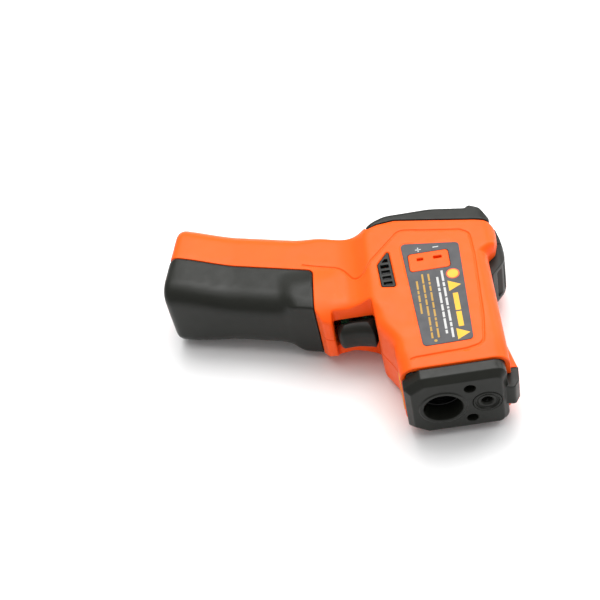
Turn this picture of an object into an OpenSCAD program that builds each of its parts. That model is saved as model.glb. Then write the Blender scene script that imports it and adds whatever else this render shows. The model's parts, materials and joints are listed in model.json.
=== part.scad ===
// Pistol-grip infrared thermometer, lying on its left side.
// Modules work in the housing's own axes: X runs up the barrel section, Y runs from the nose face
// to the display, and Z comes out of the right side. Zero is on the aperture axis at the nose face.

/* [Housing] */
// Half the width across the flat sides
half_w = 21; // [20.5:0.25:21.5]
// Wall of the two shells
wall = 2.2; // [2:0.1:2.4]
// Top of the barrel above the aperture axis
barrel_top = 30.8; // [30.4:0.1:31.2]
// Underside of the barrel below the aperture axis, at the trigger
barrel_low = 24; // [23.6:0.1:24.4]
// Radius along the long edges of the barrel
edge_r = 7; // [5:0.5:8]
// Top of the two cheeks beside the sensor hood
cheek_top = 36.5; // [36:0.1:37]

/* [Nose] */
// Length of the nose cap that shows in front of the shells
nose_len = 8; // [7.5:0.25:8.5]
// Half the width of the nose cap
nose_half_w = 18.3; // [18:0.1:18.6]
// Chamfer around the nose face
nose_chamfer = 2.8; // [2:0.2:3.4]
// Radius of the infrared aperture
aperture_r = 8.5; // [8:0.1:8.6]
// Height of the aiming-laser ports above the aperture
laser_up = 12; // [11.5:0.1:12.5]
// Half the distance between the two laser ports
laser_side = 10.2; // [10:0.1:10.6]
// Height of the lamp above the aperture
lamp_up = 18.9; // [18.6:0.1:19.2]

/* [Grip] */
// Rake of the grip from upright, in degrees
rake = 16; // [15:0.5:17]
// Half the width of the grip
grip_half_w = 16; // [15.6:0.1:16.4]
// Half the width of the butt
butt_half_w = 19.5; // [18:0.25:20]
// Length of the grip below the top of the battery door
grip_len = 67.5; // [66.5:0.5:69]
// Distance from the door's rear edge forward to the grip's front
grip_front = 23; // [22.5:0.1:23.5]
// Distance from the door's rear edge back to the grip's rear
grip_back = 22; // [21.5:0.1:22.5]

/* [Display] */
// Lean of the display face, in degrees
lean = 10.5; // [10:0.25:11]
// Height of the display window
screen_h = 20; // [18:0.5:20.5]
// Width of the display window
screen_w = 30; // [28:0.5:31]
// Travel of a key
key_travel = 0.8; // [0.5:0.1:0.9]

/* [Trigger] */
// Half the width of the trigger
trigger_half_w = 8; // [7.5:0.1:8.2]
// Radius of the trigger's pivot pin
pivot_r = 1.5; // [1.3:0.1:1.6]

/* [Fits] */
// Gap between parts that touch without moving
seam = 0.15; // [0.1:0.05:0.2]
// Gap between the door or trigger and the shells
gap = 0.35; // [0.3:0.05:0.45]
// Radial clearance of a pin in its bore
running = 0.07; // [0.05:0.01:0.09]

/* [Hidden] */
$fn = 48;

orange = [1.0, 0.42, 0.12];
black = [0.17, 0.175, 0.165];
board_green = [0.05, 0.32, 0.16];
steel = [0.75, 0.76, 0.78];
brass = [0.82, 0.66, 0.32];

grip_x = -50;            // top of the battery door
grip_y = 77;             // rear edge of the battery door at its top
trigger_wall_y = 50.5;   // front wall of the grip behind the trigger
ledge_x = -42.7;         // top of the finger ledge under the trigger
pivot = [-18, 50];       // trigger pin
face = [-8, 102.3];      // lower end of the flat display face
hood_front_y = 61.5;
hood_split_y = 80;
hood_half_w = 10.8;
hood_floor = 28.8;       // floor of the bay that the hood sits in
lug_half_w = 6;
lug_end_y = 11.4;
hinge = [-65.3, -4];     // battery door pin, in grip coordinates
hinge_r = 3.9;
lug_r = 2.4;             // shell lugs that carry the door pin
lug_in = 5;              // inner and outer sides of those lugs
lug_out = 9;
label_depth = 0.4;
skin = 0.3;              // thickness of a label
screw_r = 1.25;
screw_head_r = 2.4;
socket_centre = [4.1, 66.75];
socket_size = [18.2, 10.7];
tube_r = 9.7;
laser_r = 3;
key_sides = [-10, 0, 10];
key_size = [5.5, 7.5];
key_up = 3;              // centre of the keys above the lower end of the display face
screen_low = 9.5;        // lower edge of the window above the same place
board_screw_points = [[-3.2, -15], [-3.2, 15], [32.4, -15.4], [32.4, 15.4]];
main_board_z = 6.4;      // left face of the main board
board_t = 1.6;
main_board_holes = [[-10.5, 57], [18.5, 57], [-10.5, 83], [18.5, 83]];
switch_x = -33;          // height of the trigger switch
switch_board_y = 59.5;
buzzer_at = [-14.4, 63.8];

// A point given along and across the grip, in the housing's axes
function grip_point(x, y) = [
    grip_x + x * cos(rake) + y * sin(rake),
    grip_y - x * sin(rake) + y * cos(rake)
];
function grip_corner(x, y, r) = [grip_point(x, y).x, grip_point(x, y).y, r];

function unit(v) = v / norm(v);

// Points of the arc of radius r that rounds the corner at b, between its neighbours a and c
function corner_arc(a, b, c, r, steps = 6) = let (
        u = unit(a - b),
        v = unit(c - b),
        half = acos(u * v) / 2,
        centre = b + unit(u + v) * r / sin(half),
        from = b + u * r / tan(half) - centre,
        to = b + v * r / tan(half) - centre,
        start = atan2(from.y, from.x),
        sweep = (atan2(to.y, to.x) - start + 540) % 360 - 180
    ) [for (i = [0 : steps]) centre + r * [cos(start + sweep * i / steps), sin(start + sweep * i / steps)]];

// An outline from corners given as [x, y, radius]
function rounded(corners) = let (n = len(corners), at = [for (c = corners) [c.x, c.y]])
    [for (i = [0 : n - 1]) each corners[i].z > 0
        ? corner_arc(at[(i + n - 1) % n], at[i], at[(i + 1) % n], corners[i].z)
        : [at[i]]];

// The same corners on both sides of the mid-plane, for a section whose second coordinate is Z
function both_sides(corners) = concat(
    corners,
    [for (i = [len(corners) - 1 : -1 : 0]) [corners[i].x, -corners[i].y, corners[i].z]]);

// Seam between the shells and the display bezel, from its lower end to its top
rear_seam = [
    [-21.8, 92.9, 0.8], [-17, 94.6, 5], [-9, 95.6, 6], [27.3, 88.3, 5]
];

// Side outline of the two shells with the battery door
body_outline = rounded(concat(
    [
        [-16.5, nose_len, 0], [-17.3, 24, 8], [-22.8, 31.5, 8], [-barrel_low, trigger_wall_y, 1.5],
        [ledge_x, trigger_wall_y, 1.5], [ledge_x - 0.3, 45.6, 1.2], [-47.4, 47.4, 2.5],
        grip_corner(6.4, -grip_front, 3), grip_corner(-grip_len, -grip_front, 5),
        grip_corner(-grip_len - 4, grip_back - 0.5, 7), grip_corner(-30, grip_back + 1.5, 50),
        grip_corner(4, grip_back - 1, 20), [-31.5, 92.4, 8], [-22.8, 95.4, 0.6]
    ],
    rear_seam,
    [
        [33.8, 86.4, 1], [cheek_top, 84, 2.5], [cheek_top, 79.4, 6], [34.5, 72.4, 4],
        [barrel_top, 68.4, 3],
        [barrel_top, nose_len, 0]
    ]));

// Side outline of the display bezel
bezel_outline = rounded(concat(
    [
        [34.3, 86.9, 0], [34.5, 88.8, 1.5], [31, 95.3, 3], [26.2, 98, 1.5], [24.3, 96.35, 1],
        [face.x, face.y, 4], [-15.5, 101, 4], [-20.5, 98.6, 4], [-22.7, 95.6, 0.4]
    ],
    [for (p = rear_seam) [p.x, p.y + seam, p.z]]));

hood_outline = rounded([
    [hood_floor + seam, hood_front_y, 0], [31.6, hood_front_y, 0.6], [37.99, 69, 10], [39.2, 76, 24],
    [38.2, 84, 20], [36.9, 89.6, 1.5], [34.8, 90.3, 0.5], [34.6, 86.6, 0], [hood_floor + seam, 86.6, 0]
]);

aperture_lip = 0.5;
top_x = max([for (p = hood_outline) p.x]);
butt_x = min([for (p = body_outline) p.x]);
rear_y = max([for (p = body_outline) p.y]);
mid_x = (top_x + butt_x) / 2;
mid_y = (rear_y - aperture_lip) / 2;

// Puts a piece on the floor plane with the origin under the middle of the whole
module laid_down() { translate([-mid_x, -mid_y, half_w]) children(); }
module in_grip() { translate([grip_x, grip_y, 0]) rotate([0, 0, -rake]) children(); }
module on_face() { translate([face.x, face.y, 0]) rotate([0, 0, -lean]) children(); }
// Extrudes an (X, Z) section along Y
module along_y(y0, y1) { translate([0, y1, 0]) rotate([90, 0, 0]) linear_extrude(y1 - y0) children(); }
// Extrudes a (Y, Z) section along X
module along_x(x0, x1) { translate([x0, 0, 0]) rotate([90, 0, 90]) linear_extrude(x1 - x0) children(); }
module along_z(z0, z1) { translate([0, 0, z0]) linear_extrude(z1 - z0) children(); }
module rod_z(at, r, z0, z1) { translate([at.x, at.y, z0]) cylinder(r = r, h = z1 - z0); }
module rod_y(x, z, r, y0, y1) { translate([x, y0, z]) rotate([-90, 0, 0]) cylinder(r = r, h = y1 - y0); }
module slab(low, high) { translate(low) cube(high - low); }
module strip(x0, x1, w, r) { polygon(rounded(both_sides([[x0, w, r], [x1, w, r]]))); }

// ---- Outer form -------------------------------------------------------------------------------

// Barrel in front view, reaching up to x_top
module barrel_section(x_top, inset) {
    strip(-barrel_low - 1 + inset, x_top - inset, half_w - inset, edge_r - inset / 2);
}

// Width of the body from the barrel down to the butt
module width_outline(inset) {
    polygon(rounded(both_sides([
        [cheek_top, half_w - inset, 0], [-16, half_w - inset, 14], [-36, grip_half_w - inset, 14],
        [grip_x - 38, grip_half_w - inset, 30], [grip_x - 62, butt_half_w - inset, 12],
        [butt_x - 1, butt_half_w - inset, 0]
    ])));
}

// Grip section across its length, as a (Y, Z) outline
module grip_section(w, r, inset) {
    polygon(rounded(both_sides([
        [-grip_front + inset, w - inset, r - inset / 2],
        [grip_back + 1.6 - inset, w - inset, r - inset / 2]
    ])));
}

// Full body as a solid, drawn in by inset all round
module body_form(inset) {
    intersection() {
        along_z(-half_w, half_w) offset(delta = -inset) polygon(body_outline);
        along_x(-130, 45) polygon(rounded(both_sides([
            [nose_len - 1 + inset / 2, nose_half_w + 1 - inset, 0], [17, half_w - inset, 12],
            [130, half_w - inset, 0]
        ])));
        union() {
            along_y(nose_len, 69) barrel_section(barrel_top, inset);
            along_y(67.5, 100) barrel_section(cheek_top, inset);
            intersection() {
                along_y(44, 125) width_outline(inset);
                union() {
                    in_grip() along_x(-75, 12) grip_section(grip_half_w, 10, inset);
                    in_grip() along_x(0, 42) grip_section(half_w, 11, inset);
                    in_grip() along_x(-75, -44) grip_section(butt_half_w, 10, inset);
                    along_x(-52, ledge_x + 2) polygon(rounded(both_sides([
                        [45.4 + inset, 13 - inset, 9 - inset], [64, 13 - inset, 2]
                    ])));
                }
            }
        }
    }
}

// Area of the grip left open for the battery door, in grip coordinates, drawn out by grow
module door_area(grow) {
    offset(delta = grow) polygon(rounded([
        [10.8, -40, 0], [0.8, 0, 3.5], [hinge.x, 0, 0], [hinge.x - 0.1, hinge.y + hinge_r, 0],
        [-grip_len - 8, hinge.y + hinge_r, 0], [-grip_len - 8, -40, 0]
    ]));
}

// The door's own part of that area: its lower corner turns round the door pin, so that it can swing
module door_zone(grow) {
    difference() {
        door_area(grow);
        translate([hinge.x - 12, hinge.y]) square([12, 12]);
    }
    translate(hinge) circle(r = hinge_r + grow);
}

// ---- Shells -----------------------------------------------------------------------------------

// Screws that close the shells: place, and half-width of the body there
screw_points = [
    [[-14, 31], half_w], [[24.5, 46], half_w], [[-17.5, 84.5], half_w], [[24.8, 78.5], half_w],
    [grip_point(2, 14.5), grip_half_w], [grip_point(-61, 14.5), grip_half_w]
];
screw_reach = 4;         // how far a screw bites past the mid-plane
head_depth = 3;          // how far a screw head sits below the side
head_h = 1.7;
boss_r = 3.1;

module screw_posts(z0, z1) {
    for (s = screw_points) rod_z(s[0], boss_r, z0, z1);
}

label_corners = [[18.6, 75.5, 2], [-7.7, 79.5, 2], [-4.5, 17.9, 2], [17.1, 18.2, 2]];
grille_corners = [[-12.3, 54.5, 0.8], [-13.6, 76.8, 0.6], [-19.1, 69.1, 1.2], [-18.4, 55.5, 0.8]];
grille_deep = 1.8;

// What both shells share: walls, screw posts, battery bay wall and door lugs, on both sides of Z = 0
module shell_pair() {
    difference() {
        union() {
            difference() {
                body_form(0);
                body_form(wall);
                // open nose and open rear
                along_y(nose_len - 1, nose_len + 6) strip(-14, 28.2, nose_half_w - 1.5, 3);
                along_z(-half_w + wall, half_w - wall) polygon([
                    [-19.5, 90], [barrel_top - 1, 80], [barrel_top - 1, 92], [-19.5, 100]
                ]);
            }
            intersection() {
                body_form(wall / 2);
                union() {
                    screw_posts(-half_w, half_w);
                    in_grip() slab([-60, 7.4, -half_w], [8, 9, half_w]);
                    // floor of the hood bay
                    slab([hood_floor - wall, hood_front_y - 2, -13], [hood_floor, 88, 13]);
                    // bosses of the trigger pin, and ribs behind the switch board
                    for (side = [0, 1]) mirror([0, 0, side]) {
                        rod_z(pivot, 3.4, 10.5, half_w);
                        slab([switch_x - 6, switch_board_y + board_t + seam, 6],
                             [switch_x + 6, switch_board_y + board_t + 2, half_w]);
                    }
                }
            }
            // lugs of the battery door, which reach forward past the seam
            for (side = [0, 1]) mirror([0, 0, side]) in_grip() {
                slab([hinge.x - lug_r, hinge.y, lug_in], [hinge.x + lug_r, 12, lug_out]);
                rod_z(hinge, lug_r, lug_in, lug_out);
                slab([hinge.x - lug_r, 2, lug_in], [hinge.x + lug_r, 12, grip_half_w - 1]);
            }
        }
        // battery door with its gap, except where the lugs pass
        in_grip() {
            along_z(-lug_in, lug_in) door_area(gap / 2);
            for (side = [0, 1]) mirror([0, 0, side]) {
                along_z(lug_in - 0.1, lug_out + 0.1) difference() {
                    door_area(gap / 2);
                    translate(hinge - [lug_r, lug_r]) square([2 * lug_r, 12]);
                }
                along_z(lug_out, 30) door_area(gap / 2);
            }
        }
        // trigger opening through the barrel floor and the front of the grip
        slab([ledge_x, 40, -trigger_half_w - gap], [-15, trigger_wall_y + 4, trigger_half_w + gap]);
        // bay of the sensor hood and spine
        slab([hood_floor, hood_front_y - seam, -hood_half_w - seam], [50, 95, hood_half_w + seam]);
        // notch for the lug on top of the nose cap
        slab([28.2, 0, -lug_half_w - seam], [40, lug_end_y + seam, lug_half_w + seam]);
        // pins
        rod_z(pivot, pivot_r + running, -14, 14);
        in_grip() rod_z(hinge, pivot_r + running, -14, 14);
        // labels and grilles on both sides
        for (side = [0, 1]) mirror([0, 0, side]) {
            along_z(half_w - label_depth, half_w + 1) offset(delta = seam) polygon(rounded(label_corners));
            along_z(half_w - wall - 1, half_w + 1) offset(delta = seam) polygon(rounded(grille_corners));
        }
        // label under the nose
        slab([-17.6, 10, -11], [-16.4, 22.3, 11]);
    }
    // ridge that carries the nose lug's line back along the barrel
    intersection() {
        along_z(-lug_half_w, lug_half_w) polygon([
            [barrel_top - 1, lug_end_y + seam], [34.1, lug_end_y + seam], [barrel_top - 0.4, 30],
            [barrel_top - 1, 30]
        ]);
        along_y(0, 40) strip(20, 34.1, lug_half_w, 1.6);
    }
}

module right_shell() {
    color(orange) laid_down() difference() {
        union() {
            intersection() {
                shell_pair();
                slab([-140, -5, 0.03], [60, 130, half_w]);
            }
            for (p = main_board_holes) rod_z(p, 2, main_board_z + board_t + 0.05, half_w - wall + 0.3);
        }
        for (s = screw_points) rod_z(s[0], screw_r + 0.03, -1, screw_reach + 1);
        for (p = main_board_holes) rod_z(p, 1.03, 0, main_board_z + 7);
        // opening of the thermocouple socket
        translate([socket_centre.x, socket_centre.y, 10]) linear_extrude(20)
            square(socket_size + 2 * [seam, seam], center = true);
    }
}

module left_shell() {
    color(orange) laid_down() difference() {
        intersection() {
            shell_pair();
            slab([-140, -5, -half_w], [60, 130, -0.03]);
        }
        for (s = screw_points) {
            rod_z(s[0], screw_r + 0.2, -half_w - 1, 1);
            rod_z(s[0], screw_head_r + 0.3, -half_w - 1, -s[1] + head_depth);
        }
    }
}

module housing_screws() {
    color(steel) laid_down() for (s = screw_points) difference() {
        union() {
            rod_z(s[0], screw_r, -s[1] + head_depth - 0.1, screw_reach);
            rod_z(s[0], screw_head_r, -s[1] + head_depth - head_h, -s[1] + head_depth);
        }
        // cross recess
        translate([s[0].x, s[0].y, -s[1] + head_depth - head_h]) for (turn = [0, 90])
            rotate([0, 0, turn]) cube([2.6, 0.6, 1.6], center = true);
    }
}

// ---- Nose -------------------------------------------------------------------------------------

nose_bottom = -15.75;
nose_top = 28.3;
module nose_outline(inset) {
    offset(delta = -inset) polygon(rounded(both_sides([
        [nose_bottom, 12.5, 1], [-14.4, 13.8, 1], [-8, nose_half_w, 1.5], [nose_top, nose_half_w, 5]
    ])));
}

module front_cap() {
    color(black) laid_down() {
        difference() {
            union() {
                difference() {
                    union() {
                        hull() {
                            along_y(0, 0.01) nose_outline(nose_chamfer);
                            along_y(nose_chamfer, nose_len - seam) nose_outline(0);
                        }
                        along_y(nose_len - seam - 0.01, nose_len + 4) strip(-13.8, 28, nose_half_w - 1.7, 3);
                    }
                    along_y(2.6, nose_len + 5) strip(-12.2, 26.4, nose_half_w - 3.4, 2);
                }
                rod_y(0, 0, aperture_r + 1.8, -aperture_lip, nose_len - 0.3);
                for (side = [-1, 1]) rod_y(laser_up, side * laser_side, laser_r + 0.6, 1, nose_len - 0.3);
                // lug on top
                along_z(-lug_half_w, lug_half_w) polygon(rounded([
                    [nose_top - 1, lug_end_y, 0], [nose_top - 1, 1.6, 0], [31, 0.8, 1.5],
                    [33.4, 4.5, 2], [34.1, lug_end_y, 0.3]
                ]));
            }
            rod_y(0, 0, aperture_r, -2, nose_len + 1);
            rod_y(lamp_up, 0, 6.3, -1, 6);
            for (side = [-1, 1]) rod_y(laser_up, side * laser_side, 2.5, -1, nose_len + 1);
        }
    }
}

// Plate that holds the tube, the lasers and the lamp in line behind the nose cap
module optics_carrier() {
    color(black) laid_down() difference() {
        along_y(nose_len + 4.4, nose_len + 7.6) strip(-13.6, 26.6, half_w - wall - 1.4, 4);
        rod_y(0, 0, tube_r + seam, 0, 30);
        for (side = [-1, 1]) rod_y(laser_up, side * laser_side, laser_r + seam, 0, 30);
        rod_y(lamp_up, 0, 2.8, 0, 30);
    }
}

tube_end = 38;
lens_y = 25;
module ir_tube() {
    color(black) laid_down() difference() {
        rod_y(0, 0, tube_r, nose_len, tube_end);
        rod_y(0, 0, aperture_r - 0.3, 0, lens_y + 1.6);
        rod_y(0, 0, aperture_r - 1.6, 0, tube_end - 4);
        rod_y(0, 0, 4.8, 0, tube_end + 1);
    }
}

module ir_lens() {
    color([0.8, 0.82, 0.84, 0.6]) laid_down() translate([0, lens_y, 0]) rotate([-90, 0, 0]) {
        cylinder(r = aperture_r - 0.35, h = 1.5);
        intersection() {
            translate([0, 0, 26 - 1.1]) sphere(r = 26);
            translate([0, 0, -2]) cylinder(r = 6.5, h = 2.01);
        }
    }
}

module thermopile() {
    color(steel) laid_down() {
        difference() {
            rod_y(0, 0, 4.1, tube_end - 0.8, tube_end + 2.9);
            rod_y(0, 0, 1.6, tube_end - 2, tube_end - 0.4);
        }
        rod_y(0, 0, 4.7, tube_end + 2.3, tube_end + 2.9);
        for (turn = [45 : 90 : 315])
            rod_y(2.5 * cos(turn), 2.5 * sin(turn), 0.25, tube_end + 2.8, tube_end + 5.5);
    }
}

module sensor_board() {
    color(board_green) laid_down() difference() {
        slab([-12.5, tube_end + 3, -13], [12.5, tube_end + 3 + board_t, 13]);
        for (turn = [45 : 90 : 315])
            rod_y(2.5 * cos(turn), 2.5 * sin(turn), 0.3, tube_end + 2, tube_end + 6);
    }
}

module laser_module(side) {
    color(brass) laid_down() difference() {
        rod_y(laser_up, side * laser_side, laser_r, nose_len + 0.1, nose_len + 14);
        rod_y(laser_up, side * laser_side, 1.4, nose_len - 1, nose_len + 2.5);
    }
}
module right_laser() { laser_module(1); }
module left_laser() { laser_module(-1); }

module lamp_ring() {
    color(black) laid_down() translate([lamp_up, -0.2, 0]) rotate([-90, 0, 0])
        rotate_extrude() polygon([
            [2.3, 1.4], [2.9, 0.5], [3.9, 0.5], [4.3, 0.9], [4.9, 0.9], [5.3, 0], [5.9, 0],
            [6.2, 0.4], [6.2, 5.6], [2.6, 5.6], [2.6, 3.4], [2.3, 3]
        ]);
}

module lamp_led() {
    color([0.92, 0.94, 0.98, 0.7]) laid_down() {
        translate([lamp_up, 6, 0]) sphere(r = 2.5);
        rod_y(lamp_up, 0, 2.5, 6, 12);
        for (side = [-1, 1]) rod_y(lamp_up, side * 1.27, 0.28, 11.9, 17);
    }
}

// ---- Display ----------------------------------------------------------------------------------

bezel_face_t = 2.2;
module bezel_form() {
    intersection() {
        along_z(-half_w, half_w) polygon(bezel_outline);
        along_y(80, 110) barrel_section(cheek_top, 0);
        along_x(-40, 50) polygon(rounded(both_sides([
            [70, half_w, 0], [99, half_w, 1], [103, half_w - 4, 1]
        ])));
    }
}

module rear_bezel() {
    color(black) laid_down() difference() {
        union() {
            difference() {
                bezel_form();
                // hollow behind the face
                intersection() {
                    on_face() slab([-6, -12, -17.8], [35.5, -bezel_face_t, 17.8]);
                    along_y(80, 110) barrel_section(cheek_top - 3.5, 3);
                }
            }
            intersection() {
                bezel_form();
                on_face() for (p = board_screw_points) rod_y(p.x, p.y, 1.9, -5.7, -1);
            }
        }
        on_face() for (p = board_screw_points) rod_y(p.x, p.y, 1.03, -8, -bezel_face_t);
        on_face() {
            slab([screen_low, -5, -screen_w / 2], [screen_low + screen_h, 3, screen_w / 2]);
            for (z = key_sides) slab([key_up - key_size.x / 2, -5, z - key_size.y / 2],
                                     [key_up + key_size.x / 2, 3, z + key_size.y / 2]);
        }
        // spine cover runs over the top
        slab([34.4, 80, -hood_half_w - seam], [50, 91, hood_half_w + seam]);
    }
}

module display_window() {
    color([0.5, 0.55, 0.56, 0.35]) laid_down() on_face()
        slab([screen_low + seam, -1.6, -screen_w / 2 + seam],
             [screen_low + screen_h - seam, -0.3, screen_w / 2 - seam]);
}

module lcd_panel() {
    color([0.55, 0.62, 0.55]) laid_down() on_face()
        slab([screen_low - 0.6, -4.9, -16.2], [screen_low + screen_h + 0.5, -2.4, 16.2]);
}

module display_board() {
    color(board_green) laid_down() on_face() difference() {
        slab([-5.4, -5.8 - board_t, -17.4], [34, -5.8, 17.4]);
        for (p = board_screw_points) rod_y(p.x, p.y, 1.1, -8, -5);
    }
}

module board_screws() {
    color(steel) laid_down() {
        on_face() for (p = board_screw_points) {
            rod_y(p.x, p.y, 1, -7.5, -3.2);
            rod_y(p.x, p.y, 1.9, -8.8, -7.45);
        }
        for (p = main_board_holes) {
            rod_z(p, 1, main_board_z - 0.1, main_board_z + 6);
            rod_z(p, 1.9, main_board_z - 1.3, main_board_z - 0.05);
        }
    }
}

module keypad_mat() {
    color([0.3, 0.3, 0.32]) laid_down() on_face()
        slab([-1, -5.6, -14.6], [7.2, -4.8, 14.6]);
}

module key(z) {
    color([0.25, 0.26, 0.25]) laid_down() on_face() {
        along_y(-3.4, 1) translate([key_up, z])
            strip_key(key_size.x / 2 - 0.2, key_size.y / 2 - 0.2, 1.2);
        slab([key_up - key_size.x / 2 - 0.7, -3.9, z - key_size.y / 2 - 0.8],
             [key_up + key_size.x / 2 + 0.7, -3.3, z + key_size.y / 2 + 0.8]);
    }
}
module strip_key(a, b, r) { polygon(rounded([[-a, -b, r], [a, -b, r], [a, b, r], [-a, b, r]])); }
module left_key() { key(key_sides[0]); }
module mode_key() { key(key_sides[1]); }
module right_key() { key(key_sides[2]); }

// ---- Air sensor on top ------------------------------------------------------------------------

module hood_form() {
    intersection() {
        along_z(-hood_half_w, hood_half_w) polygon(hood_outline);
        along_y(50, 95) strip(hood_floor - 10, top_x, hood_half_w, 3);
    }
}

rib_pitch = 2.5;
module sensor_hood() {
    color(black) laid_down() difference() {
        hood_form();
        slab([20, hood_split_y, -20], [50, 100, 20]);
        slab([20, hood_front_y + 3.5, -hood_half_w + 1.6], [31.8, hood_split_y - 2, hood_half_w - 1.6]);
        slab([20, 68, -hood_half_w + 1.6], [34.6, hood_split_y - 2, hood_half_w - 1.6]);
        slab([20, 71.5, -hood_half_w + 1.6], [36.4, hood_split_y - 2, hood_half_w - 1.6]);
        // louvres across the front slope
        for (i = [0 : 4]) translate([34.6, hood_front_y + 4 + i * rib_pitch, 0]) rotate([0, 0, 28])
            cube([16, 1.1, 2 * hood_half_w - 5], center = true);
    }
}

module spine_cover() {
    color(black) laid_down() difference() {
        hood_form();
        slab([20, 40, -20], [50, hood_split_y + seam, 20]);
        slab([20, hood_split_y - 1, -hood_half_w + 1.8], [35.8, 84.8, hood_half_w - 1.8]);
    }
}

module air_sensor_board() {
    color(board_green) laid_down() slab([29, 66, -6], [30.2, 77.5, 6]);
}
module air_sensor() {
    color([0.9, 0.9, 0.88]) laid_down() difference() {
        slab([30.2, 69.5, -2.5], [32, 74.5, 2.5]);
        translate([31.2, 72, 0]) rotate([0, 90, 0]) cylinder(r = 1, h = 2);
    }
}

// ---- Sides ------------------------------------------------------------------------------------

slot_pitch = 3.5;
module grille() {
    difference() {
        along_z(half_w - grille_deep, half_w - 0.2) polygon(rounded(grille_corners));
        along_z(0, 30) intersection() {
            offset(delta = -1.1) polygon(rounded(grille_corners));
            for (i = [0 : 4]) translate([-24, 56 + i * slot_pitch]) square([14, 1.9]);
        }
    }
}
module right_grille() { color(black) laid_down() grille(); }
module left_grille() { color(black) laid_down() mirror([0, 0, 1]) grille(); }

module label() { along_z(half_w - label_depth, half_w - label_depth + skin) polygon(rounded(label_corners)); }
module right_label() {
    color([0.29, 0.29, 0.3]) laid_down() difference() {
        label();
        along_z(0, 30) translate(socket_centre) square(socket_size + 2 * [seam, seam], center = true);
    }
}
module left_label() { color([0.29, 0.29, 0.3]) laid_down() mirror([0, 0, 1]) label(); }
module under_label() { color([0.95, 0.78, 0.1]) laid_down() slab([-16.7, 10.2, -10.8], [-16.4, 22, 10.8]); }

plus_slot = [0.2, 2.9];   // centre and length of each slot, up the barrel
minus_slot = [8.1, 3.8];
slot_y = 68.3;
slot_w = 1.6;
module thermocouple_socket() {
    color(orange) laid_down() difference() {
        along_z(12, half_w + 0) translate(socket_centre)
            strip_key(socket_size.x / 2, socket_size.y / 2, 1.5);
        for (s = [plus_slot, minus_slot]) {
            slab([s[0] - s[1] / 2, slot_y - slot_w / 2, 13], [s[0] + s[1] / 2, slot_y + slot_w / 2, 25]);
            slab([s[0] - 1.3, slot_y + slot_w / 2 - 0.1, 10], [s[0] + 1.3, slot_y + slot_w / 2 + 0.6, 19]);
        }
    }
}
module socket_contacts() {
    color(brass) laid_down() for (s = [plus_slot, minus_slot])
        slab([s[0] - 1.2, slot_y + slot_w / 2 + 0.05, 8.1], [s[0] + 1.2, slot_y + slot_w / 2 + 0.5, 18.8]);
}

// ---- Electronics ------------------------------------------------------------------------------

module main_board() {
    color(board_green) laid_down() difference() {
        slab([-12.8, 54, main_board_z], [21, 86, main_board_z + board_t]);
        for (p = main_board_holes) rod_z(p, 1.1, 0, 20);
    }
}

module buzzer() {
    color([0.12, 0.12, 0.13]) laid_down() difference() {
        rod_z(buzzer_at, 5, 12, half_w - wall - 1.2);
        rod_z(buzzer_at, 0.9, 16, 20);
    }
}

// ---- Trigger ----------------------------------------------------------------------------------

hub_r = 3;
module trigger() {
    color(black) laid_down() difference() {
        union() {
            intersection() {
                along_z(-trigger_half_w, trigger_half_w) polygon(rounded([
                    [-24.7, 41.9, 0.8], [-32.5, 44.2, 16], [-40.7, 43.9, 2], [-41.8, 48, 1],
                    [-41.6, 51, 1], [-34, 52.6, 4], [-20, 53, 0], [-18, 49, 0], [-22.5, 47, 1.5]
                ]));
                along_x(-50, 0) polygon(rounded(both_sides([
                    [41, trigger_half_w, 3.2], [60, trigger_half_w, 0]
                ])));
            }
            rod_z(pivot, hub_r, -trigger_half_w, trigger_half_w);
        }
        rod_z(pivot, pivot_r + running, -10, 10);
        // hollow behind the finger face
        along_z(-trigger_half_w + 1.8, trigger_half_w - 1.8) polygon([
            [-39.5, 47.5], [-39.5, 55], [-36.5, 55], [-36.5, 47]
        ]);
    }
}

module trigger_pin() { color(steel) laid_down() rod_z(pivot, pivot_r, -13.8, 13.8); }

// Coils round the trigger pin beside the hub, with the leg that bears on the trigger
module trigger_spring() {
    color(steel) laid_down() {
        translate([pivot.x, pivot.y, 8.5]) rotate_extrude()
            for (i = [0 : 2]) translate([2.2, 0.5 * i]) circle(r = 0.3, $fn = 16);
        translate([pivot.x, pivot.y + 2.2, 8.5]) rotate([0, -90, -12]) cylinder(r = 0.3, h = 8, $fn = 16);
    }
}

module trigger_switch() {
    color([0.1, 0.1, 0.11]) laid_down() {
        slab([switch_x - 3, switch_board_y - 3.5, -3], [switch_x + 3, switch_board_y, 3]);
        rod_y(switch_x, 0, 1.7, switch_board_y - 4.5, switch_board_y - 3.4);
    }
}
module switch_board() {
    color(board_green) laid_down()
        slab([switch_x - 7, switch_board_y, -9], [switch_x + 7, switch_board_y + board_t, 9]);
}

// ---- Battery ----------------------------------------------------------------------------------

door_wall = 2;
module battery_door() {
    color(black) laid_down() difference() {
        union() {
            difference() {
                intersection() {
                    body_form(0);
                    in_grip() along_z(-30, 30) door_zone(-gap / 2);
                }
                body_form(door_wall);
            }
            // ears round the door pin
            intersection() {
                body_form(0.2);
                in_grip() for (side = [0, 1]) mirror([0, 0, side])
                    rod_z(hinge, hinge_r - gap / 2, 9.5, butt_half_w);
            }
        }
        in_grip() {
            rod_z(hinge, pivot_r + running, -14, 14);
            // slots that clear the shell lugs as the door swings
            for (side = [0, 1]) mirror([0, 0, side])
                slab([butt_x, hinge.y - lug_r - 1.2, lug_in - gap],
                     [hinge.x + lug_r + 0.6, 3, lug_out + gap]);
        }
    }
}

module door_pin() { color(steel) laid_down() in_grip() rod_z(hinge, pivot_r, -13.8, 13.8); }

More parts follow.
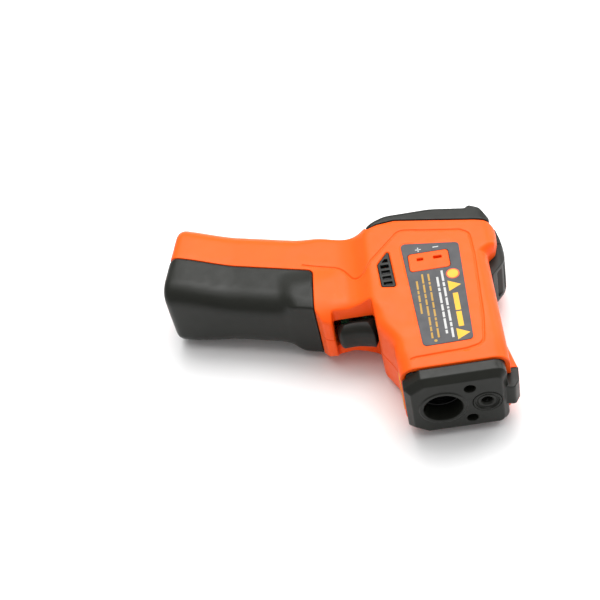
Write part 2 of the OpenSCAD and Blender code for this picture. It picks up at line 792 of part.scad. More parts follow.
battery_top = -11;
module battery() {
    color([0.16, 0.2, 0.34]) laid_down() in_grip() {
        along_x(battery_top - 46, battery_top) translate([-6.8, 0]) strip_key(13.25, 8.75, 1.5);
        for (side = [-1, 1]) translate([battery_top - 0.1, -6.8 + side * 6.35, 0]) rotate([0, 90, 0])
            cylinder(r = 2.9, h = 2.6);
    }
}

module battery_clip() {
    color([0.08, 0.08, 0.09]) laid_down() in_grip() difference() {
        along_x(battery_top + 0.2, battery_top + 3.9) translate([-6.8, 0]) strip_key(12.8, 6.2, 1.5);
        for (side = [-1, 1]) translate([battery_top - 1, -6.8 + side * 6.35, 0]) rotate([0, 90, 0])
            cylinder(r = 3.1, h = 3.8);
    }
}

right_shell();
left_shell();
housing_screws();
front_cap();
optics_carrier();
ir_tube();
ir_lens();
thermopile();
sensor_board();
right_laser();
left_laser();
lamp_ring();
lamp_led();
rear_bezel();
display_window();
lcd_panel();
display_board();
board_screws();
keypad_mat();
left_key();
mode_key();
right_key();
sensor_hood();
spine_cover();
air_sensor();
air_sensor_board();
right_grille();
left_grille();
right_label();
left_label();
under_label();
thermocouple_socket();
socket_contacts();
main_board();
buzzer();
trigger();
trigger_pin();
trigger_spring();
trigger_switch();
switch_board();
battery_door();
door_pin();
battery();
battery_clip();
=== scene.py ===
import json
import math

import bpy
import numpy as np
import openvdb
from mathutils import Matrix, Vector


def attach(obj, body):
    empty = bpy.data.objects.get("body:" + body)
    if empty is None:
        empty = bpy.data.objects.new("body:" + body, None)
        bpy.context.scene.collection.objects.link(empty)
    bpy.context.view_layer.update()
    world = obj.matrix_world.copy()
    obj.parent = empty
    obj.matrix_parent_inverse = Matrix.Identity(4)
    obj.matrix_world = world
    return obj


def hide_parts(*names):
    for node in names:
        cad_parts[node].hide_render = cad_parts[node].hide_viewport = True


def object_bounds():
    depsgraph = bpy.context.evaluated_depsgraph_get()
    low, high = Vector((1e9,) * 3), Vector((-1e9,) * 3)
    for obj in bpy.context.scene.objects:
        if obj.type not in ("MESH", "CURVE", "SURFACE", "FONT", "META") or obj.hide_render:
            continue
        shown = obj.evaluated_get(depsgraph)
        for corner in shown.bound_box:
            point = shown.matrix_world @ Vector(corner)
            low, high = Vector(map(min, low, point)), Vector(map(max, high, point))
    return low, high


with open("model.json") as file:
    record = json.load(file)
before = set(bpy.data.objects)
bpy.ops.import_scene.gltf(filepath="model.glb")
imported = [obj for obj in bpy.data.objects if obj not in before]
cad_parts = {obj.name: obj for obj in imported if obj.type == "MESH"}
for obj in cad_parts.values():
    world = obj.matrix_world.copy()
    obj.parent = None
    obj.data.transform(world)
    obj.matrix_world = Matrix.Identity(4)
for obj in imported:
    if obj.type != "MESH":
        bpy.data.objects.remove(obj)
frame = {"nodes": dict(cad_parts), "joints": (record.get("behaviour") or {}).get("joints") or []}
cad_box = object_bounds()

# ---- Housing halves -------------------------------------------------------------------------------
# The two orange halves of the pistol body: ABS, injection moulded with a wall of 2.2 mm, smooth and
# half glossy. Six screws from the left side hold them together along the middle of the barrel and grip.

# The housing's own axes, in millimetres: X up the barrel section, Y back from the nose, Z out of the
# right side, from the middle of the aperture. The trigger pin is the point that both axes share.
trigger_joint = next(j for j in frame["joints"] if j["name"] == "trigger_pull")
PIN = (-18, 50)
datum = np.array(trigger_joint["pos_m"]) * 1000 - (PIN[0], PIN[1], 0)

HALF_WIDTH = 21
GRIP_HALF = 16
BUTT_HALF = 19.5
NOSE_HALF = 18.9
WALL = 2.2
NOSE_END = 8
BARREL_TOP = 30.8
CHEEK_TOP = 36.5
TRIGGER_WALL = 50.5
LEDGE_TOP = -42.7
LEDGE_HALF = 14.6
TRIGGER_HALF = 8
RAKE = math.radians(16)
DOOR_TOP = (-50, 77)
GRIP_FRONT = -23
GRIP_BACK = 22
GRIP_LENGTH = 67.5
HINGE = (-65.3, -4)
KNUCKLE = 3.9
SEAM = 0.15
GAP = 0.35
SEAM_HALF = 0.08


def on_grip(x, y):
    """A place given up the grip and back across it, in the housing's axes."""
    return (DOOR_TOP[0] + x * math.cos(RAKE) + y * math.sin(RAKE),
            DOOR_TOP[1] - x * math.sin(RAKE) + y * math.cos(RAKE))


def round_path(corners, steps=7):
    """A closed path from corners (x, y, radius), each one turned into an arc of its radius."""
    path = []
    for i, (x, y, radius) in enumerate(corners):
        here = np.array((x, y), float)
        if radius == 0:
            path.append(here)
            continue
        back = np.array(corners[i - 1][:2]) - here
        ahead = np.array(corners[(i + 1) % len(corners)][:2]) - here
        back, ahead = back / np.hypot(*back), ahead / np.hypot(*ahead)
        half = math.acos(float(back @ ahead)) / 2
        middle = back + ahead
        centre = here + middle / np.hypot(*middle) * radius / math.sin(half)
        first = here + back * radius / math.tan(half) - centre
        last = here + ahead * radius / math.tan(half) - centre
        start = math.atan2(first[1], first[0])
        sweep = (math.atan2(last[1], last[0]) - start + 3 * math.pi) % (2 * math.pi) - math.pi
        for k in range(steps + 1):
            turn = start + sweep * k / steps
            path.append(centre + radius * np.array((math.cos(turn), math.sin(turn))))
    return np.array(path)


def to_line(path, u, v, closed=False):
    """Distance of each place (u, v) from a line of points, below zero inside a closed one."""
    near = np.full(np.broadcast(u, v).shape, 1e6, np.float32)
    within = np.zeros(near.shape, bool)
    ends = np.roll(path, -1, axis=0) if closed else path[1:]
    for (a, b), (c, d) in zip(path, ends):
        along_u, along_v = c - a, d - b
        t = ((u - a) * along_u + (v - b) * along_v) / (along_u ** 2 + along_v ** 2)
        t = np.clip(t, 0, 1)
        near = np.minimum(near, (u - a - t * along_u) ** 2 + (v - b - t * along_v) ** 2)
        if closed and along_v != 0:
            within ^= ((b > v) != (d > v)) & (u < a + (v - b) * along_u / along_v)
    return np.where(within, -np.sqrt(near), np.sqrt(near)).astype(np.float32)


def to_bar(u, v, low, high, half, radius):
    """Distance from a bar that runs from low to high in u and half each way in v, edges rounded."""
    du = np.abs(u - (low + high) / 2) - (high - low) / 2 + radius
    dv = np.abs(v) - half + radius
    return np.minimum(np.maximum(du, dv), 0) + np.hypot(np.maximum(du, 0), np.maximum(dv, 0)) - radius


def ramp(value, start, end):
    """Goes smoothly from 0 at start to 1 at end."""
    t = np.clip((value - start) / (end - start), 0, 1)
    return t * t * (3 - 2 * t)


def join(a, b, fillet):
    """Two forms as one, with a fillet where they meet."""
    overlap = np.maximum(fillet - np.abs(a - b), 0) / fillet
    return np.minimum(a, b) - overlap * overlap * fillet / 4


def trim(a, b, radius):
    """What two forms have in common, with the edge between them rounded."""
    return -join(-a, -b, radius)


class Block:
    """A block of points in the housing's axes, in which a piece is moulded."""

    def __init__(self, low, high, step):
        self.low = np.array(low, float)
        self.step = step
        self.count = [math.ceil((h - l) / step) + 1 for l, h in zip(low, high)]
        x, y, z = [(l + step * np.arange(n)).astype(np.float32) for l, n in zip(low, self.count)]
        self.x, self.y, self.z = x[:, None, None], y[None, :, None], z[None, None, :]
        self.grip_x = (self.x - DOOR_TOP[0]) * math.cos(RAKE) - (self.y - DOOR_TOP[1]) * math.sin(RAKE)
        self.grip_y = (self.x - DOOR_TOP[0]) * math.sin(RAKE) + (self.y - DOOR_TOP[1]) * math.cos(RAKE)


def corners_of(node):
    """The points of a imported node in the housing's axes, and its triangles."""
    mesh = frame["nodes"][node].data
    mesh.calc_loop_triangles()
    places = np.empty(len(mesh.vertices) * 3, np.float32)
    mesh.vertices.foreach_get("co", places)
    corners = np.empty(len(mesh.loop_triangles) * 3, np.int32)
    mesh.loop_triangles.foreach_get("vertices", corners)
    return places.reshape(-1, 3) * 1000 - datum, corners.reshape(-1, 3).astype(np.uint32)


def inner_form(node, block, mirrored=False):
    """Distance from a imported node, for the ribs, posts and bores that its moulding keeps."""
    places, corners = corners_of(node)
    if mirrored:
        places = places * (1, 1, -1)
        corners = corners[:, ::-1]
    grid = openvdb.FloatGrid.createLevelSetFromPolygons(
        (places - block.low) / block.step, triangles=np.ascontiguousarray(corners), halfWidth=6)
    field = np.empty(block.count, np.float32)
    grid.copyToArray(field)
    return field * block.step


def eased(field, times=1):
    """The same form with its edges and corners worn round by about one step of the block."""
    for _ in range(times):
        for axis in range(3):
            ahead, behind = np.roll(field, 1, axis), np.roll(field, -1, axis)
            field = (field * 2 + ahead + behind) / 4
    return field


def height_at(field, places):
    """The field's value between its points."""
    places = np.clip(places, 0, np.array(field.shape) - 1.001)
    cell = places.astype(int)
    part = places - cell
    total = 0
    for corner in np.ndindex(2, 2, 2):
        share = np.prod(np.where(corner, part, 1 - part), axis=1)
        i, j, k = (cell + corner).T
        total = total + share * field[i, j, k]
    return total


def moulded(name, block, field, mirrored=False, coarse=0.15):
    """The mesh of a form: dense where it curves, with normals taken from the form itself."""
    reach = 3 * block.step
    grid = openvdb.FloatGrid(background=reach)
    grid.copyFromArray(np.ascontiguousarray(np.clip(field, -reach, reach), np.float32), tolerance=0.0)
    places, triangles, quads = grid.convertToPolygons(isovalue=0.0, adaptivity=coarse)
    normals = np.stack([height_at(field, places + step) - height_at(field, places - step)
                        for step in np.eye(3) * 0.7], axis=1)
    normals /= np.linalg.norm(normals, axis=1, keepdims=True) + 1e-9
    places = places * block.step + block.low
    if mirrored:
        places, normals = places * (1, 1, -1), normals * (1, 1, -1)
        triangles, quads = triangles[:, ::-1], quads[:, ::-1]
    mesh = bpy.data.meshes.new(name)
    mesh.vertices.add(len(places))
    mesh.vertices.foreach_set("co", ((places + datum) / 1000).astype(np.float32).ravel())
    mesh.loops.add(3 * len(triangles) + 4 * len(quads))
    corners = np.concatenate([triangles.ravel(), quads.ravel()])
    mesh.loops.foreach_set("vertex_index", corners.astype(np.int32))
    starts = np.concatenate([3 * np.arange(len(triangles)),
                             3 * len(triangles) + 4 * np.arange(len(quads))])
    mesh.polygons.add(len(starts))
    mesh.polygons.foreach_set("loop_start", starts.astype(np.int32))
    mesh.update(calc_edges=True)
    mesh.polygons.foreach_set("use_smooth", np.ones(len(starts), bool))
    mesh.normals_split_custom_set_from_vertices(normals.astype(np.float32))
    piece = bpy.data.objects.new(name, mesh)
    bpy.context.collection.objects.link(piece)
    return piece


def paint(red, green, blue):
    """A colour given as on a paint card, 0 to 255, as the shader takes it."""
    return [((c / 255 + 0.055) / 1.055) ** 2.4 if c > 10 else c / 3295 for c in (red, green, blue)] + [1]


def finish(name, colour, roughness, grain=0.5, depth=0.02, mottle=0.05, metallic=0.0, specular=0.5):
    """A moulded or machined surface: fine grain (size and depth in mm), uneven colour and gloss."""
    material = bpy.data.materials.new(name)
    material.use_nodes = True
    nodes, links = material.node_tree.nodes, material.node_tree.links
    shader = nodes["Principled BSDF"]
    shader.inputs["Metallic"].default_value = metallic
    shader.inputs["Specular IOR Level"].default_value = specular
    place = nodes.new("ShaderNodeTexCoord").outputs["Object"]

    cloud = nodes.new("ShaderNodeTexNoise")
    cloud.inputs["Scale"].default_value = 55
    cloud.inputs["Detail"].default_value = 5
    links.new(place, cloud.inputs["Vector"])
    shade = nodes.new("ShaderNodeValToRGB")
    shade.color_ramp.elements[0].position, shade.color_ramp.elements[1].position = 0.3, 0.7
    shade.color_ramp.elements[0].color = [c * (1 - mottle) for c in colour[:3]] + [1]
    shade.color_ramp.elements[1].color = [min(1, c * (1 + mottle)) for c in colour[:3]] + [1]
    links.new(cloud.outputs["Fac"], shade.inputs["Fac"])
    links.new(shade.outputs["Color"], shader.inputs["Base Color"])

    handling = nodes.new("ShaderNodeTexNoise")
    handling.inputs["Scale"].default_value = 210
    handling.inputs["Detail"].default_value = 7
    links.new(place, handling.inputs["Vector"])
    gloss = nodes.new("ShaderNodeMapRange")
    gloss.inputs["From Min"].default_value, gloss.inputs["From Max"].default_value = 0.3, 0.7
    gloss.inputs["To Min"].default_value = roughness - 0.06
    gloss.inputs["To Max"].default_value = roughness + 0.06
    links.new(handling.outputs["Fac"], gloss.inputs["Value"])
    links.new(gloss.outputs["Result"], shader.inputs["Roughness"])

    texture = nodes.new("ShaderNodeTexNoise")
    texture.inputs["Scale"].default_value = 1000 / grain
    texture.inputs["Detail"].default_value = 3
    links.new(place, texture.inputs["Vector"])
    bump = nodes.new("ShaderNodeBump")
    bump.inputs["Strength"].default_value = 0.5
    bump.inputs["Distance"].default_value = depth / 1000
    links.new(texture.outputs["Fac"], bump.inputs["Height"])
    links.new(bump.outputs["Normal"], shader.inputs["Normal"])
    return material


def fit(piece, body, slot, material, *nodes):
    """Gives a piece its finish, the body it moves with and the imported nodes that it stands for."""
    piece.data.materials.clear()
    piece.data.materials.append(material)
    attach(piece, body)
    if nodes:
        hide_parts(*nodes)


rear_seam = [(-21.8, 92.9, 0.8), (-17, 94.6, 5), (-9, 95.6, 6), (27.3, 88.3, 5)]
side_view = round_path([
    (-16.5, NOSE_END, 0), (-17.3, 24, 8), (-22.8, 31.5, 8), (-24, TRIGGER_WALL, 1.5),
    (LEDGE_TOP, TRIGGER_WALL, 1.5), (LEDGE_TOP - 0.3, 45.6, 1.2), (-47.4, 47.4, 2.5),
    (*on_grip(6.4, GRIP_FRONT), 3), (*on_grip(-GRIP_LENGTH, GRIP_FRONT), 5),
    (*on_grip(-GRIP_LENGTH - 4, GRIP_BACK - 0.5), 7), (*on_grip(-30, GRIP_BACK + 1.5), 50),
    (*on_grip(4, GRIP_BACK - 1), 20), (-31.5, 92.4, 8), (-22.8, 95.4, 0.6), *rear_seam,
    (33.8, 86.4, 1), (CHEEK_TOP, 84, 2.5), (CHEEK_TOP, 79.4, 6), (34.5, 72.4, 4),
    (BARREL_TOP, 68.4, 3), (BARREL_TOP, NOSE_END, 0)])


def body_form(block):
    """The outside of the body: barrel, grip and finger ledge in one flowing form."""
    x, y, z = block.x, block.y, block.z
    top = BARREL_TOP + (CHEEK_TOP - BARREL_TOP) * ramp(y, 68.2, 73.4)
    underside = -16.5 - 0.9 * ramp(y, 8, 20) - 7.1 * ramp(y, 22, 40)
    barrel_half = NOSE_HALF + (HALF_WIDTH - NOSE_HALF) * ramp(y, 5, 20)
    barrel = to_bar(x, z, underside, top, barrel_half, 7)
    barrel = np.maximum(barrel, NOSE_END - y)
    grip_half = GRIP_HALF + (HALF_WIDTH - GRIP_HALF) * ramp(x, -39, -13) \
        + (BUTT_HALF - GRIP_HALF) * ramp(-x, 84, 114)
    edge = 10 - 4 * ramp(block.grip_x, -14, 2)
    grip = to_bar(block.grip_y, z, GRIP_FRONT, GRIP_BACK + 1.6, grip_half, edge)
    grip = np.maximum(grip, block.grip_x - 42)
    butt = -(block.grip_x + GRIP_LENGTH + 0.09 * (block.grip_y - GRIP_FRONT))
    grip = trim(grip, butt, 5)
    ledge = trim(to_bar(y, z, 45.2, 75, LEDGE_HALF, 8), np.abs(x + 50) - 9.5, 4)
    fillet = 7
    form = join(join(barrel, grip, fillet), ledge, fillet)
    form = trim(form, np.abs(z) - HALF_WIDTH, 0.8)
    return trim(form, to_line(side_view, x, y, closed=True), 0.8)


def door_area(block, grow):
    """The part of the grip that the battery door covers, in side view, grown by a little."""
    heel_y = HINGE[1] + KNUCKLE + grow
    area = round_path([(10.8 + grow, -40, 0), (0.8 + 0.8 * grow, grow, 3.5), (HINGE[0], grow, 0),
                       (HINGE[0] - 0.1, heel_y, 0), (-80, heel_y, 0), (-80, -40, 0)])
    return to_line(area, block.grip_x, block.grip_y, closed=True)


label_area = round_path([(18.6, 75.5, 2), (-7.7, 79.5, 2), (-4.5, 17.9, 2), (17.1, 18.2, 2)])
grille_area = round_path([(-12.3, 54.5, 0.8), (-13.6, 76.8, 0.6), (-19.1, 69.1, 1.2), (-18.4, 55.5, 0.8)])
groove_line = round_path([
    (-30, 0, 0), (-15.5, 10.5, 0), (-9, 13.2, 8), (13.6, 13.9, 4), (21, 15.5, 4), (22.9, 30.5, 20),
    (24.5, 66.8, 30), (24, 80.5, 4), (20, 83.2, 4), (-7.5, 88.4, 5), (-21.8, 72.3, 8),
    (-26.4, 65.9, 4), (-30.5, 65, 3.5), (-36.4, 75, 10), (-51.8, 80, 30),
    (*on_grip(-72, 14), 0), (-140, 300, 0)])[2:-2]
SCREWS = [(-14, 31, 21), (24.5, 46, 21), (-17.5, 84.5, 21), (24.8, 78.5, 21),
          (*on_grip(2, 14.5), 16), (*on_grip(-61, 14.5), 16)]
SCREW_HEAD = 2.7
SCREW_SHANK = 1.45
HEAD_DEPTH = 3
LABEL_DEPTH = 0.4
GRILLE_BACK = 18
SOCKET = (4.1, 66.75)
SOCKET_SIZE = (18.2, 10.7)
SOCKET_BACK = 10
HOOD_FLOOR = 28.8
HOOD_FRONT = 61.5
HOOD_HALF = 10.8
LUG_FLOOR = 28.2
LUG_END = 11.4
LUG_HALF = 6

half_block = Block((-121.2, 7.1, -0.6), (37.3, 116.7, 21.6), 0.26)
outside = body_form(half_block)


def where_all(*forms):
    """What all the given forms have in common."""
    common = forms[0]
    for form in forms[1:]:
        common = np.maximum(common, form)
    return common


def span(value, low, high):
    """How far a value is outside the stretch from low to high, below zero within it."""
    return np.maximum(low - value, value - high)


def openings(left):
    """Each opening that the moulding leaves in the skin of one half."""
    x, y, z = half_block.x, half_block.y, half_block.z
    nose_mouth = to_bar(x, z, -14, LUG_FLOOR, 16.8, 3)
    yield where_all(nose_mouth, y - 14)
    rear = np.array([(-19.5, 90), (29.8, 80), (29.8, 92), (-19.5, 100)])
    yield where_all(to_line(rear, x, y, closed=True), z - HALF_WIDTH + WALL)
    yield door_area(half_block, GAP / 2)
    yield where_all(span(x, LEDGE_TOP, -15), span(y, 40, TRIGGER_WALL + 4), z - TRIGGER_HALF - GAP)
    yield where_all(HOOD_FLOOR - x, HOOD_FRONT - SEAM - y, z - HOOD_HALF - SEAM)
    yield where_all(LUG_FLOOR - x, y - LUG_END - SEAM, z - LUG_HALF - SEAM)
    yield where_all(span(x, -17.6, -16.4), span(y, 10, 22.3), z - 11)
    label = to_line(label_area, x, y, closed=True) - SEAM
    label_floor = HALF_WIDTH - LABEL_DEPTH + 2 * LABEL_DEPTH * np.clip(label / 1.3, 0, 1)
    yield label_floor + 3 * (label > 1.4) - z
    grille = to_line(grille_area, x, y, closed=True)
    grille_rim = grille + 0.05 - 0.9 * np.clip(z - 20.2, 0, 1)
    yield where_all(np.minimum(grille - SEAM, grille_rim), GRILLE_BACK - z)
    yield z - SEAM_HALF
    if left:
        for screw_x, screw_y, half in SCREWS:
            hole = np.hypot(x - screw_x, y - screw_y)
            yield np.minimum(where_all(hole - SCREW_HEAD, half - HEAD_DEPTH - z), hole - SCREW_SHANK)
    else:
        across = np.abs(x - SOCKET[0]) - SOCKET_SIZE[0] / 2 - SEAM
        back = np.abs(y - SOCKET[1]) - SOCKET_SIZE[1] / 2 - SEAM
        yield where_all(across, back, SOCKET_BACK - z)


def shell_form(node, left):
    """One half of the housing, with Z counted outwards from the seam."""
    x, y, z = half_block.x, half_block.y, half_block.z
    skin = np.maximum(outside, -(outside + WALL))
    for opening in openings(left):
        skin = np.maximum(skin, -opening)
    ribs = np.maximum(inner_form(node, half_block, mirrored=left), outside + WALL - 0.4)
    # a lip under the door's top edge keeps light and dust out of the bay
    edge = door_area(half_block, 0)
    flange = where_all(span(outside, -3.3, -2.3), -2.5 - edge)
    root = where_all(span(outside, -3.3, -1.5), 0.3 - edge)
    lip = where_all(np.minimum(flange, root), edge - 1.5, -8 - half_block.grip_x, SEAM_HALF - z)
    ridge_start = 11.5
    ridge_top = 34.1 - np.clip(y - ridge_start, 0, 20) * 0.2
    ridge = where_all(to_bar(x, z, 20, ridge_top, LUG_HALF, 1.6), span(y, ridge_start, 31),
                      SEAM_HALF - z, 29 - x)
    form = eased(np.minimum(np.minimum(skin, ribs), np.minimum(ridge, lip)))
    groove_radius = 0.5
    groove = groove_radius - np.hypot(to_line(groove_line, x, y), outside)
    return np.where(z > 8, np.maximum(form, groove), form)


orange = finish("orange_abs", paint(252, 90, 18), 0.4, grain=0.35, depth=0.012, mottle=0.04, specular=0.18)
for name, node, left in [("right_half", "right_shell", False), ("left_half", "left_shell", True)]:
    half = moulded(name, half_block, shell_form(node, left), mirrored=left, coarse=0.05)
    fit(half, "housing", "orange_plastic", orange, node)

# ---- Nose cap and optics ------------------------------------------------------------------------
# A black cap plugs the front of the barrel. It carries the lip of the infrared aperture, two laser
# ports and a lamp in a stepped ring; behind it a carrier plate holds the optics in line.


def softened(node, step, times):
    """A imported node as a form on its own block, with its edges worn round."""
    places, _ = corners_of(node)
    margin = 5 * step
    block = Block(places.min(axis=0) - margin, places.max(axis=0) + margin, step)
    return block, eased(inner_form(node, block), times)


def hugging(block, field, node):
    """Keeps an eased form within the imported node's own box."""
    places, _ = corners_of(node)
    (x0, y0, z0), (x1, y1, z1) = places.min(axis=0), places.max(axis=0)
    for bound in (x0 - block.x, block.x - x1, y0 - block.y, block.y - y1, z0 - block.z, block.z - z1):
        field = np.maximum(field, bound)
    return field


black = finish("black_abs", paint(30, 31, 27), 0.36, grain=0.3, depth=0.03, mottle=0.06, specular=0.2)
fine = 1
block, cap = softened("front_cap", 0.17 * fine, 2)
fit(moulded("nose_cap", block, cap), "housing", "black_plastic", black, "front_cap")

dark_satin = finish("dark_satin", paint(14, 14, 14), 0.34, grain=0.6, depth=0.02)
block, tube = softened("ir_tube", 0.2 * fine, 1)
radius = np.hypot(block.x, block.z)
# baffle rings cut inside the bore keep stray heat off the sensor
BORE = 8.1
BAFFLE_PITCH = 1.6
BAFFLE_DEPTH = 0.35
thread = BAFFLE_DEPTH * np.abs(((block.y / BAFFLE_PITCH) % 1) - 0.5) * 2
tube = np.maximum(tube, np.where((block.y < 24) & (radius < 9), BORE + thread - radius, -9))
fit(moulded("sighting_tube", block, tube), "housing", "black_plastic", dark_satin, "ir_tube")

block, ring = softened("lamp_ring", 0.1 * fine, 1)
fit(moulded("lamp_bezel", block, ring), "housing", "black_plastic", black, "lamp_ring")


def coat(material, *nodes):
    """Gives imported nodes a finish; their shapes stay as they are."""
    for node in nodes:
        materials = frame["nodes"][node].data.materials
        for i in range(len(materials)):
            materials[i] = material


def glassy(name, colour, roughness, transmission, ior=1.5):
    """A clear or smoked moulding, with a little haze from wear."""
    material = finish(name, colour, roughness, grain=2, depth=0.004, mottle=0.03)
    shader = material.node_tree.nodes["Principled BSDF"]
    shader.inputs["Transmission Weight"].default_value = transmission
    shader.inputs["IOR"].default_value = ior
    return material


coat(glassy("silicon_lens", paint(60, 62, 74), 0.12, 0.1, 2.2), "ir_lens")
coat(glassy("lamp_epoxy", paint(225, 230, 235), 0.15, 0.6), "lamp_led")
coat(finish("carrier_black", paint(35, 36, 35), 0.6, grain=0.8, depth=0.03), "optics_carrier")
brass = finish("turned_brass", paint(196, 160, 88), 0.3, grain=0.2, depth=0.006, mottle=0.08, metallic=1.0)
coat(brass, "right_laser", "left_laser", "socket_contacts")
steel = finish("plated_steel", paint(176, 178, 182), 0.32, grain=0.25, depth=0.006, mottle=0.1,
               metallic=1.0)
coat(steel, "thermopile", "trigger_pin", "door_pin", "board_screws")


# ---- Circuit boards -------------------------------------------------------------------------------
# Five boards of glass-epoxy with green solder mask over copper: sensor, display, main, switch and
# air-sensor board. They are screwed or pressed in; buzzer, switch and air sensor are soldered to them.
def board_finish():
    """Solder mask, darker over bare board and lighter over the tracks that run beneath it."""
    material = finish("solder_mask", paint(16, 92, 50), 0.35, grain=0.8, depth=0.01)
    nodes, links = material.node_tree.nodes, material.node_tree.links
    tracks = nodes.new("ShaderNodeTexBrick")
    tracks.inputs["Scale"].default_value = 160
    tracks.inputs["Mortar Size"].default_value = 0.035
    tracks.inputs["Color1"].default_value = paint(13, 84, 46)
    tracks.inputs["Color2"].default_value = paint(17, 98, 54)
    tracks.inputs["Mortar"].default_value = paint(48, 140, 84)
    links.new(nodes["Texture Coordinate"].outputs["Object"], tracks.inputs["Vector"])
    links.new(tracks.outputs["Color"], nodes["Principled BSDF"].inputs["Base Color"])
    return material


coat(board_finish(), "sensor_board", "display_board", "main_board", "switch_board", "air_sensor_board")
coat(finish("part_black", paint(26, 26, 28), 0.45, grain=0.5, depth=0.02), "buzzer", "trigger_switch")
coat(finish("sensor_white", paint(228, 228, 222), 0.45, grain=0.4, depth=0.01), "air_sensor")

# ---- Display --------------------------------------------------------------------------------------
# The black rear bezel closes the back of the barrel. A clear window is set flush in its leaning face
# over the liquid-crystal panel, and three rubber-backed keys stand in a row below it.
block, bezel = softened("rear_bezel", 0.2 * fine, 3)
chamfer = (block.x + 23) * -0.409 + (block.y - 95.4) * 0.912
behind = where_all(span(chamfer, -1.3, 0), span(block.x, -21.7, -9.3), np.abs(block.z) - 18.5)
bezel = np.minimum(trim(bezel, chamfer, 1.5), behind)
bezel = hugging(block, bezel, "rear_bezel")
fit(moulded("display_bezel", block, bezel), "housing", "black_plastic", black, "rear_bezel")
coat(glassy("window_acrylic", paint(236, 240, 240), 0.06, 0.95, 1.49), "display_window")
coat(finish("crystal_panel", paint(128, 142, 124), 0.3, grain=1.2, depth=0.004, mottle=0.04), "lcd_panel")
coat(finish("mat_rubber", paint(58, 58, 60), 0.75, grain=0.3, depth=0.03), "keypad_mat")

LEAN = math.radians(10.5)
FACE = (-8, 102.3)
WINDOW_MIDDLE = 19.5
KEY_PITCH = 10


def across_face(block):
    """How far a block's points are up the leaning display face, and out from it."""
    x, y = block.x - FACE[0], block.y - FACE[1]
    return x * math.cos(LEAN) - y * math.sin(LEAN), x * math.sin(LEAN) + y * math.cos(LEAN)


block = Block((0, 92, -16), (23, 101, 16), 0.15 * fine)
up_face, out_face = across_face(block)
panel = to_bar(up_face - WINDOW_MIDDLE, block.z, -9.8, 9.8, 14.8, 0.6)
sight = to_bar(up_face - WINDOW_MIDDLE, block.z, -7.6, 7.6, 12.6, 1.2)
border = where_all(panel, -sight, span(out_face, -2.25, -1.75))
border_ink = finish("border_ink", paint(16, 17, 17), 0.4, grain=0.3, depth=0.004)
fit(moulded("window_border", block, border), "housing", "black_plastic", border_ink)

key_rubber = finish("key_rubber", paint(74, 76, 74), 0.6, grain=0.25, depth=0.03, specular=0.3)
for key, centre in (("left_key", -KEY_PITCH), ("mode_key", 0), ("right_key", KEY_PITCH)):
    block, cap = softened(key, 0.12 * fine, 3)
    up_face, out_face = across_face(block)
    if key == "mode_key":
        mark = np.hypot(up_face - 3, block.z) - 0.9
    else:
        point = np.array([(2.2, centre - 1.2), (2.2, centre + 1.2), (4.2, centre)])
        mark = to_line(point if key == "left_key" else point * (-1, 1) + (6.4, 0),
                       up_face, block.z, closed=True)
    engraving = where_all(mark, 0.7 - out_face)
    cap = np.maximum(cap, -engraving)
    fit(moulded(key + "_cap", block, cap), key, "key_plastic", key_rubber, key)

# ---- Hood over the air sensor ---------------------------------------------------------------------
# A black louvred hood rises over the air sensor on top of the barrel, and a smooth spine cover runs
# on behind it over the top of the bezel. Both are moulded and clipped into the bay.
for name, node in [("louvred_hood", "sensor_hood"), ("spine", "spine_cover")]:
    block, cover = softened(node, 0.16 * fine, 2)
    fit(moulded(name, block, hugging(block, cover, node)), "housing", "black_plastic", black, node)

# ---- Side grilles ---------------------------------------------------------------------------------
# A black insert with five slots lets the buzzer be heard on each side. It is moulded in the same
# plastic as the nose cap and pressed into a recess of the shell.
for side in ("right", "left"):
    block, grille = softened(side + "_grille", 0.12 * fine, 1)
    fit(moulded(side + "_vent", block, grille), "housing", "black_plastic", black, side + "_grille")

# ---- Thermocouple socket --------------------------------------------------------------------------
# An orange insert with two flat slots of different length takes a miniature thermocouple plug. It is
# moulded in a slightly redder plastic than the shell and drops into a square hole in the right half.
socket_orange = finish("socket_orange", paint(252, 88, 16), 0.42, grain=0.4, depth=0.015,
                       specular=0.18)
block, socket = softened("thermocouple_socket", 0.15 * fine, 2)
fit(moulded("plug_socket", block, socket), "housing", "orange_plastic", socket_orange,
    "thermocouple_socket")

# ---- Labels ---------------------------------------------------------------------------------------
# Dark grey polyester film is stuck in the recess of each side, and a yellow slip under the nose. The
# print on the film is plain bars, blocks and shapes in white and yellow ink.
FILM_FACE = HALF_WIDTH - 0.1
film = finish("label_film", paint(52, 52, 55), 0.5, grain=0.2, depth=0.01, mottle=0.03)
for side, node in ((1, "right_label"), (-1, "left_label")):
    block = Block((-9, 16.6, 20.2), (20, 80.6, 21.3), 0.12 * fine)
    sheet = where_all(to_line(label_area, block.x, block.y, closed=True), span(block.z, 20.6, FILM_FACE))
    if side > 0:
        hole = to_bar(block.x - SOCKET[0], block.y - SOCKET[1], -SOCKET_SIZE[0] / 2 - SEAM,
                      SOCKET_SIZE[0] / 2 + SEAM, SOCKET_SIZE[1] / 2 + SEAM, 1.6)
        sheet = np.maximum(sheet, -hole)
    fit(moulded(node + "_film", block, sheet, mirrored=side < 0), "housing", "label_grey", film, node)
coat(finish("yellow_film", paint(235, 190, 30), 0.5, grain=0.2, depth=0.01), "under_label")
INK = 0.03


def box_mark(x, y, high, long):
    """A bar of ink centred at (x, y), high across the barrel and long along it."""
    return [(x - high / 2, y - long / 2), (x + high / 2, y - long / 2),
            (x + high / 2, y + long / 2), (x - high / 2, y + long / 2)]


def disc_mark(x, y, radius, sides=40):
    """A round spot of ink."""
    turns = [2 * math.pi * i / sides for i in range(sides)]
    return [(x + radius * math.cos(turn), y + radius * math.sin(turn)) for turn in turns]


